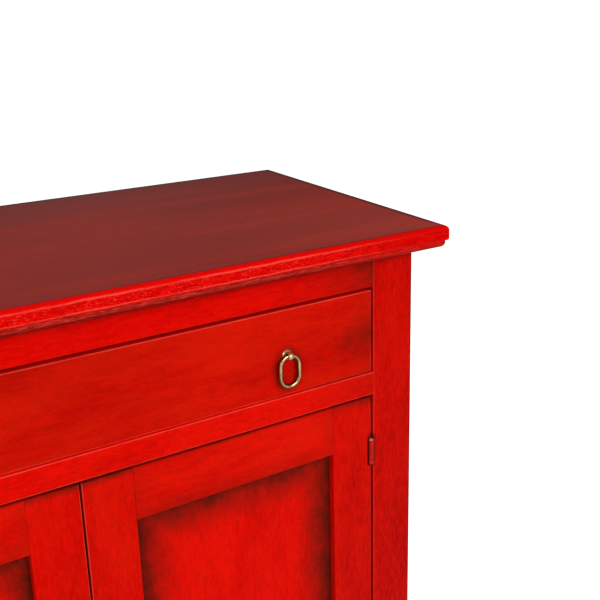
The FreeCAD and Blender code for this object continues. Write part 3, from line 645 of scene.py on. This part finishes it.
def top_material():
    """The top: a browner satin field, a thin dark line round it, painted shade on the rounded rims of its ends and
    back, and a bright red moulded edge.
    """
    low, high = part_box("top_board")
    step = low.z + MOULDING_HEIGHT
    material, tree, shader, place = new_material("top_lacquer")
    x, y, z = split(tree, place)
    out = size_of(tree, x)
    streaks = drawn_noise(tree, place, fineness=GRAIN["x"], detail=5.0, roughness=0.62)
    bands = drawn_noise(tree, place, fineness=(3, 22, 22), detail=4.0, roughness=0.6)
    flecks = drawn_noise(tree, place, fineness=(280, 720, 720), detail=3.0, roughness=0.6)
    towards_end = ramp(tree, out, *(part * high.x for part in END_PARTS))
    rubbed = raised(tree, base=0.6, value=towards_end, amount=-0.5)
    field = top_field(tree, place, bands, streaks)
    edge = moulded_edge(tree, place, streaks, flecks, towards_end, rubbed)
    under = ramp(tree, z, *(step + height for height in OVOLO_TOP))
    brown = raised(tree, base=0.95, value=towards_end, amount=-0.5)
    edge = mix(tree, times(tree, under, brown), edge, brushed_ovolo(tree, place, rubbed))

    ends = minus(tree, high.x, out)
    front = minus(tree, y, low.y)
    back = plus(tree, minus(tree, high.y, y), BACK_RUN)
    inset = smaller(tree, smaller(tree, ends, front), back)
    on_top = ramp(tree, z, *(high.z - depth for depth in FIELD_DEPTH))
    on_field = times(tree, ramp(tree, inset, *FIELD_INSET), on_top)
    colour = mix(tree, on_field, edge, field)
    line = times(tree, ramp(tree, away(tree, inset, LINE_INSET), *LINE_STEP), on_field)
    colour = mix(tree, line, colour, LINE_AND_RIM_SHADE)
    # Painted shade on the rounded rims of the ends and back
    rim_shade = times(tree, ramp(tree, ends, *RIM_FROM_ENDS), ramp(tree, front, *RIM_FROM_FRONT))
    rim_shade = larger(tree, rim_shade, ramp(tree, y, *(high.y - inwards for inwards in RIM_FROM_BACK)))
    upper = ramp(tree, z, *(high.z - depth for depth in RIM_DEPTH))
    colour = mix(tree, times(tree, rim_shade, upper, RIM_STRENGTH), colour, LINE_AND_RIM_SHADE)

    finish_shader(tree, shader, colour, raised(tree, base=0.42, value=bands, amount=0.16))
    gloss(shader, TOP_GLOSS, RED_GLEAM)
    bump(tree, shader, plus(tree, streaks, flecks), strength=0.3, distance=0.0003)
    return material


# Colours of the pulls' sides and back: painted shade on the rings, lightened on the eyes as painted light
RING_SHADE_BRASS = linear(104, 74, 42)
EYE_LIGHTENED_BRASS = linear(190, 156, 110)
HIGHLIGHT_BRASS = linear(224, 186, 134)
SCRATCH_BRASS = linear(84, 58, 32)
# The way that the faces with the painted highlight point
HIGHLIGHT_WAY = (-0.16, -0.96, 0.23)
PATCHY_BRASS = 0.3
BRASS_STEP = (0.78, 1.03)
SCRATCH_STEP = (0.52, 0.36, 0.0, 0.35)


def brass_material(name, side_colour, metallic):
    """Antique brass: a painted highlight on faces turned to the front, and painted shade on its sides and back."""
    material, tree, shader, place = new_material(name)
    patches = noise(tree, place, scale=90.0, detail=4.0, roughness=0.6)
    scratches = drawn_noise(tree, place, fineness=(900, 900, 220), detail=3.0, roughness=0.6)
    normal = tree.nodes.new("ShaderNodeTexCoord").outputs["Normal"]
    facing = vector_maths(tree, "DOT_PRODUCT", normal, HIGHLIGHT_WAY)
    turned = plus(tree, facing, swing(tree, patches, PATCHY_BRASS))
    colour = mix(tree, ramp(tree, turned, *BRASS_STEP), side_colour, HIGHLIGHT_BRASS)
    colour = mix(tree, ramp(tree, scratches, *SCRATCH_STEP), colour, SCRATCH_BRASS)
    finish_shader(tree, shader, colour, raised(tree, base=0.18, value=scratches, amount=0.16))
    shader.inputs["Metallic"].default_value = metallic
    bump(tree, shader, scratches, strength=0.1, distance=0.0002)
    return material


HINGE_DARK = linear(156, 14, 9)
HINGE_LIGHT = linear(198, 36, 26)
HINGE_BARE_LIT = linear(226, 160, 132)
HINGE_STEP = (0.35, 0.66)
# Metres from a hinge's upper end over which the lacquer comes back
COVERED_STEP = (0.0002, 0.0012)
BARE_LIT_STRENGTH = 0.9
BARE_METALLIC = 0.5


def hinge_material():
    """A hinge lacquered with the furniture, bare metal at its upper end, painted light there as a highlight too.
    """
    material, tree, shader, place = new_material("painted_hinge")
    smudges = noise(tree, place, scale=220.0, detail=4.0, roughness=0.65)
    z = split(tree, place)[Z]
    covered = 1.0
    for hinge_low in HINGE_LOWS:
        beyond = away(tree, z, hinge_low + HINGE_LENGTH)
        covered = times(tree, covered, ramp(tree, beyond, *COVERED_STEP))
    # Bare metal at the upper ends, with a painted highlight in its colour
    bare = times(tree, minus(tree, 1.0, covered), BARE_LIT_STRENGTH)
    colour = mix(tree, ramp(tree, smudges, *HINGE_STEP), HINGE_DARK, HINGE_LIGHT)
    colour = mix(tree, bare, colour, HINGE_BARE_LIT)
    finish_shader(tree, shader, colour, raised(tree, base=0.30, value=smudges, amount=0.2))
    tree.links.new(times(tree, bare, BARE_METALLIC), shader.inputs["Metallic"])
    gloss(shader, HINGE_GLOSS, RED_GLEAM)
    bump(tree, shader, smudges, strength=0.3, distance=0.0002)
    return material


STEEL_DARK = linear(150, 148, 142)
STEEL_LIGHT = linear(188, 186, 180)
STEEL_STEP = (0.36, 0.64)


def steel_material():
    """Zinc plated steel with fine scratches."""
    material, tree, shader, place = new_material("steel")
    patches = noise(tree, place, scale=240.0, detail=4.0, roughness=0.6)
    scratches = drawn_noise(tree, place, fineness=(1500, 300, 300), detail=3.0, roughness=0.6)
    colour = mix(tree, ramp(tree, patches, *STEEL_STEP), STEEL_DARK, STEEL_LIGHT)
    finish_shader(tree, shader, colour, raised(tree, base=0.26, value=scratches, amount=0.3))
    shader.inputs["Metallic"].default_value = 1.0
    bump(tree, shader, scratches, strength=0.2, distance=0.0001)
    return material


# What grain, wear and glaze each piece has

UPRIGHT = ("post", "stile", "panel")
FRONT_TO_BACK = ("_side", "runner", "kicker", "cleats", "stops")
# Marks on the arrises (wear, and on lacquer a painted highlight too), depth and warmth of the red, and openness of
# the grain
FINISH = {
    "plain": (0.5, 0.08, 0.3, 0.75),
    "door_stile": (0.5, 0.26, 0.5, 0.65),
    "door_rail": (0.5, 0.02, 0.5, 0.65),
    "front_apron": (0.5, 0.12, 0.12, 0.65),
    "middle_rail": (0.65, 0.05, 0.3, 0.8),
    "post": (0.3, 0.51, 0.35, 0.65),
    "drawer_front": (0.85, 0.29, 0.95, 0.45),
}


def grain_of(name):
    """The axis that a piece's grain runs along."""
    if any(word in name for word in UPRIGHT):
        return "z"
    if any(word in name for word in FRONT_TO_BACK):
        return "y"
    return "x"


def inner_side(name):
    """The side of a door's stile or rail that faces the panel, as an axis and an end."""
    right = name.startswith("right")
    if "hinge_stile" in name:
        return X, "Low" if right else "High"
    if "meeting_stile" in name:
        return X, "High" if right else "Low"
    return Z, "Low" if "top_rail" in name else "High"


def wood_settings(name):
    """What a shared pattern needs to know about one piece."""
    low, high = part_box(name)
    grain = grain_of(name)
    along = "xyz".index(grain)
    arris_marks = {"Low": low.copy(), "High": high.copy()}
    reach = {end: [FAR] * 3 for end in ENDS}
    soil_and_shade = {end: [0] * 3 for end in ENDS}
    finish = "plain"

    def glazed_and_shaded(axis, distance, strength, ends=ENDS):
        """Brown that fades out over a distance from the piece's ends along an axis: glaze at joints and corners,
        painted shade under the top and by the drawer gap.
        """
        for end in ends:
            reach[end][axis] = distance
            soil_and_shade[end][axis] = strength

    def no_arris_marks(axis, ends=ENDS):
        """No marks on the arrises, wear and painted highlight, at the piece's ends along an axis."""
        for end in ends:
            arris_marks[end][axis] += FAR if end == "High" else -FAR

    if "rail" in name or name == "front_apron":
        tenon = DOOR_TENON if "door" in name else TENON
        low[along] += tenon
        high[along] -= tenon
        no_arris_marks(along)
        glazed_and_shaded(along, distance=0.03, strength=0.35)
    if "_door_" in name and ("stile" in name or "rail" in name):
        axis, end = inner_side(name)
        no_arris_marks(axis, [end])
        no_arris_marks(Z)
        if "stile" in name:
            finish = "door_stile"
            glazed_and_shaded(Z, distance=0.012, strength=0.6)
        else:
            finish = "door_rail"
            glazed_and_shaded(Z, distance=0.006, strength=0.42)
            glazed_and_shaded(Z, distance=0.030, strength=0.38, ends=[end])
            glazed_and_shaded(X, distance=0.035, strength=0.3)
    if name == "front_apron":
        finish = name
        no_arris_marks(Z)
        # Painted shade: darker just under the top's moulding
        glazed_and_shaded(Z, distance=0.0125, strength=1.2, ends=["High"])
        # Painted shade: a thin dark line along the lower edge, by the drawer gap
        glazed_and_shaded(Z, distance=0.002, strength=0.8, ends=["Low"])
        glazed_and_shaded(X, distance=0.14, strength=0.56)
    elif "top_rail" in name and "door" not in name:
        no_arris_marks(Z, ["High"])
        # Painted shade: darker just under the top
        glazed_and_shaded(Z, distance=0.0135, strength=0.5 if "back" in name else 0.9, ends=["High"])
    elif name == "middle_rail":
        finish = name
        glazed_and_shaded(X, distance=0.14, strength=0.3)
    elif "panel" in name:
        for axis in (X, Y, Z):
            if high[axis] - low[axis] > THICKEST_PANEL:
                low[axis] += PANEL_ENTRY
                high[axis] -= PANEL_ENTRY
                glazed_and_shaded(axis, distance=0.06, strength=0.8)
            no_arris_marks(axis)
    elif "post" in name:
        finish = "post"
        no_arris_marks(X, ["High" if "right" in name else "Low"])
        # Painted shade: darker just under the top's moulding
        glazed_and_shaded(Z, distance=0.0135, strength=1.2 if "front" in name else 0.5, ends=["High"])
        glazed_and_shaded(Z, distance=0.06, strength=0.5, ends=["Low"])
    elif name == "drawer_front":
        finish = name
        glazed_and_shaded(X, distance=0.055, strength=0.24)
        glazed_and_shaded(Z, distance=0.014, strength=0.12, ends=["Low"])

    settings = {"Low": low, "High": high, "Grain": GRAIN[grain], "Flecks": FLECKS[grain]}
    for end in ENDS:
        settings[f"Reach {end}"] = reach[end]
        settings[f"Soil {end}"] = soil_and_shade[end]
        settings[f"Wear {end}"] = arris_marks[end]
    settings.update(zip(VALUE_INPUTS, FINISH[finish]))
    return settings


# Each lacquered or bare piece has a material of its own, made in the order of the nodes
shared = {
    "top_lacquer": top_material(),
    "antique_brass": brass_material("ring_brass", RING_SHADE_BRASS, metallic=1.0),
    "painted_hinge": hinge_material(),
    "steel": steel_material(),
}
# The eyes take a lighter copy of the brass, as painted light
eye_material = brass_material("eye_brass", EYE_LIGHTENED_BRASS, metallic=0.75)
for name, thing in nodes.items():
    slot = slots[name]
    if name.endswith("pull_eye"):
        material = eye_material
    elif slot in shared:
        material = shared[slot]
    elif slot == "bare_wood":
        material = patterned(name, BARE_WOOD, wood_settings(name), WOOD_GLOSS, WHITE)
    else:
        material = patterned(name, LACQUER, wood_settings(name), LACQUER_GLOSS, RED_GLEAM)
    thing.data.materials.clear()
    thing.data.materials.append(material)


# Floor, light and camera

FLOOR_HALF = 60.0
FLOOR_DARK = (0.90, 0.90, 0.90, 1)
FLOOR_LIGHT = (0.93, 0.93, 0.93, 1)
FLOOR_STEP = (0.3, 0.7)
# The floor's own light, from in front of the sideboard to behind it
FLOOR_GLOW = (-0.8, 0.2, 0.0, 0.72)
# The air's light, and how bright it looks towards the front and towards the back
AIR_LIGHT = 0.36
AIR_LOOK = (-0.45, 0.25, AIR_LIGHT, 1.0)


def stage_floor():
    """A wide pale floor."""
    mesh = bpy.data.meshes.new("floor")
    signs = ((-1, -1), (1, -1), (1, 1), (-1, 1))
    corners = [(across * FLOOR_HALF, back * FLOOR_HALF, 0) for across, back in signs]
    mesh.from_pydata(corners, [], [(0, 1, 2, 3)])
    floor = bpy.data.objects.new("floor", mesh)
    bpy.context.scene.collection.objects.link(floor)
    material, tree, shader, place = new_material("floor")
    tone = noise(tree, place, scale=3.0, detail=3.0, roughness=0.5)
    colour = mix(tree, ramp(tree, tone, *FLOOR_STEP), FLOOR_DARK, FLOOR_LIGHT)
    tree.links.new(colour, shader.inputs["Base Color"])
    shader.inputs["Roughness"].default_value = 0.9
    shader.inputs["Emission Color"].default_value = WHITE
    glow = ramp(tree, split(tree, place)[Y], *FLOOR_GLOW)
    tree.links.new(glow, shader.inputs["Emission Strength"])
    shader.inputs["Specular IOR Level"].default_value = 0.0
    mesh.materials.append(material)


def area_light(name, place, target, size, power):
    light = bpy.data.lights.new(name, "AREA")
    light.shape = "DISK"
    light.size = size
    light.energy = power
    lamp = bpy.data.objects.new(name, light)
    lamp.location = place
    lamp.rotation_euler = (Vector(target) - Vector(place)).to_track_quat("-Z", "Y").to_euler()
    bpy.context.scene.collection.objects.link(lamp)


def studio_air():
    """White air that looks brighter behind the sideboard than it lights it."""
    world = bpy.data.worlds.new("studio")
    world.use_nodes = True
    tree = world.node_tree
    backdrop = tree.nodes["Background"]
    backdrop.inputs["Color"].default_value = WHITE
    way = node(tree, "ShaderNodeTexCoord").outputs["Generated"]
    look = ramp(tree, split(tree, way)[Y], *AIR_LOOK)
    seen = node(tree, "ShaderNodeLightPath").outputs["Is Camera Ray"]
    tree.links.new(ramp(tree, seen, 0.0, 1.0, AIR_LIGHT, look), backdrop.inputs["Strength"])
    return world


stage_floor()
area_light("key", place=(0.7, -3.2, 2.1), target=(0.1, 0, 0.6), size=2.2, power=71)
area_light("fill", place=(-2.6, -2.0, 1.6), target=(0, 0, 0.6), size=1.6, power=28)
area_light("back", place=(1.0, 2.6, 2.6), target=(0, 0, 0.7), size=1.6, power=14)

scene = bpy.context.scene
scene.world = studio_air()
scene.view_settings.view_transform = "Standard"

camera = bpy.data.cameras.new("camera")
camera.sensor_width = 36
camera.lens = 60.78
camera.shift_x = -0.1335
camera.shift_y = 0.0002
eye = bpy.data.objects.new("camera", camera)
eye.location = (-0.3053, -1.1115, 1.1549)
eye.rotation_euler = [math.radians(angle) for angle in (71.303, -0.06, -36.457)]
scene.collection.objects.link(eye)
scene.camera = eye

bpy.context.view_layer.update()
